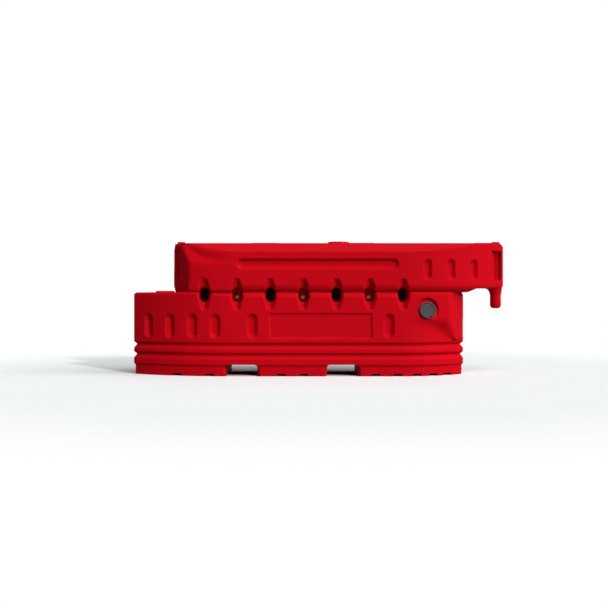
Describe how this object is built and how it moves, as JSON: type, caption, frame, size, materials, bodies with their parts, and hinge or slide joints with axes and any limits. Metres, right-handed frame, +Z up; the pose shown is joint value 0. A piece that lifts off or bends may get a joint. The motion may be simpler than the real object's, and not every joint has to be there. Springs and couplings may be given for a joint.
{
  "type": "pedestrian barrier panel",
  "caption": "Two-tier hollow plastic road barrier unit: water-filled base block with fork pockets, staggered top block bolted on through seam notches, link peg and socket.",
  "frame": {"origin": "on the floor, under the middle of the unit's overall box", "axes": "+X along the wall towards the link peg, +Y towards the rear face (away from the filler cap), +Z up"},
  "size_m": [2.245, 0.4644, 0.802],
  "materials": {
    "red_plastic": "rotomoulded polyethylene, satin",
    "neck_plastic": "moulded-in threaded insert, dark grey",
    "cap_plastic": "injection-moulded, grey",
    "seal_rubber": "black rubber",
    "zinc_steel": "yellow zinc plated"
  },
  "bodies": {
    "barrier": {"base_shell": "red_plastic", "top_shell": "red_plastic", "filler_neck": "neck_plastic", "drain_neck": "neck_plastic", "joint_bolt_1": "zinc_steel", "joint_bolt_2": "zinc_steel", "joint_bolt_3": "zinc_steel", "joint_bolt_4": "zinc_steel", "joint_bolt_5": "zinc_steel", "joint_bolt_6": "zinc_steel", "joint_bolt_7": "zinc_steel", "joint_washer_1": "zinc_steel", "joint_washer_2": "zinc_steel", "joint_washer_3": "zinc_steel", "joint_washer_4": "zinc_steel", "joint_washer_5": "zinc_steel", "joint_washer_6": "zinc_steel", "joint_washer_7": "zinc_steel", "joint_nut_1": "zinc_steel", "joint_nut_2": "zinc_steel", "joint_nut_3": "zinc_steel", "joint_nut_4": "zinc_steel", "joint_nut_5": "zinc_steel", "joint_nut_6": "zinc_steel", "joint_nut_7": "zinc_steel"},
    "filler_lift": {"filler_seal": "seal_rubber"},
    "filler_cap": {"filler_cap": "cap_plastic"},
    "drain_lift": {"drain_seal": "seal_rubber"},
    "drain_plug": {"drain_plug": "cap_plastic"}
  },
  "joints": [
    {"name": "filler_cap_slide", "type": "slide", "parent": "barrier", "child": "filler_lift", "axis": [0.1541, -0.9727, 0.1737], "range_m": [0, 0.0205]},
    {"name": "filler_cap_turn", "type": "hinge", "parent": "filler_lift", "child": "filler_cap", "pos_m": [0.6365, -0.2145, 0.387], "axis": [0.1541, -0.9727, 0.1737], "range_deg": [0, 900]},
    {"name": "drain_plug_slide", "type": "slide", "parent": "barrier", "child": "drain_lift", "axis": [0, 1, 0], "range_m": [0, 0.0105]},
    {"name": "drain_plug_turn", "type": "hinge", "parent": "drain_lift", "child": "drain_plug", "pos_m": [-0.1575, 0.22, 0.032], "axis": [0, 1, 0], "range_deg": [0, 1440]}
  ],
  "couplings": [
    {"joint": "filler_cap_slide", "follows": "filler_cap_turn", "m_per_rad": 0.0012732},
    {"joint": "drain_plug_slide", "follows": "drain_plug_turn", "m_per_rad": 0.00039789}
  ]
}
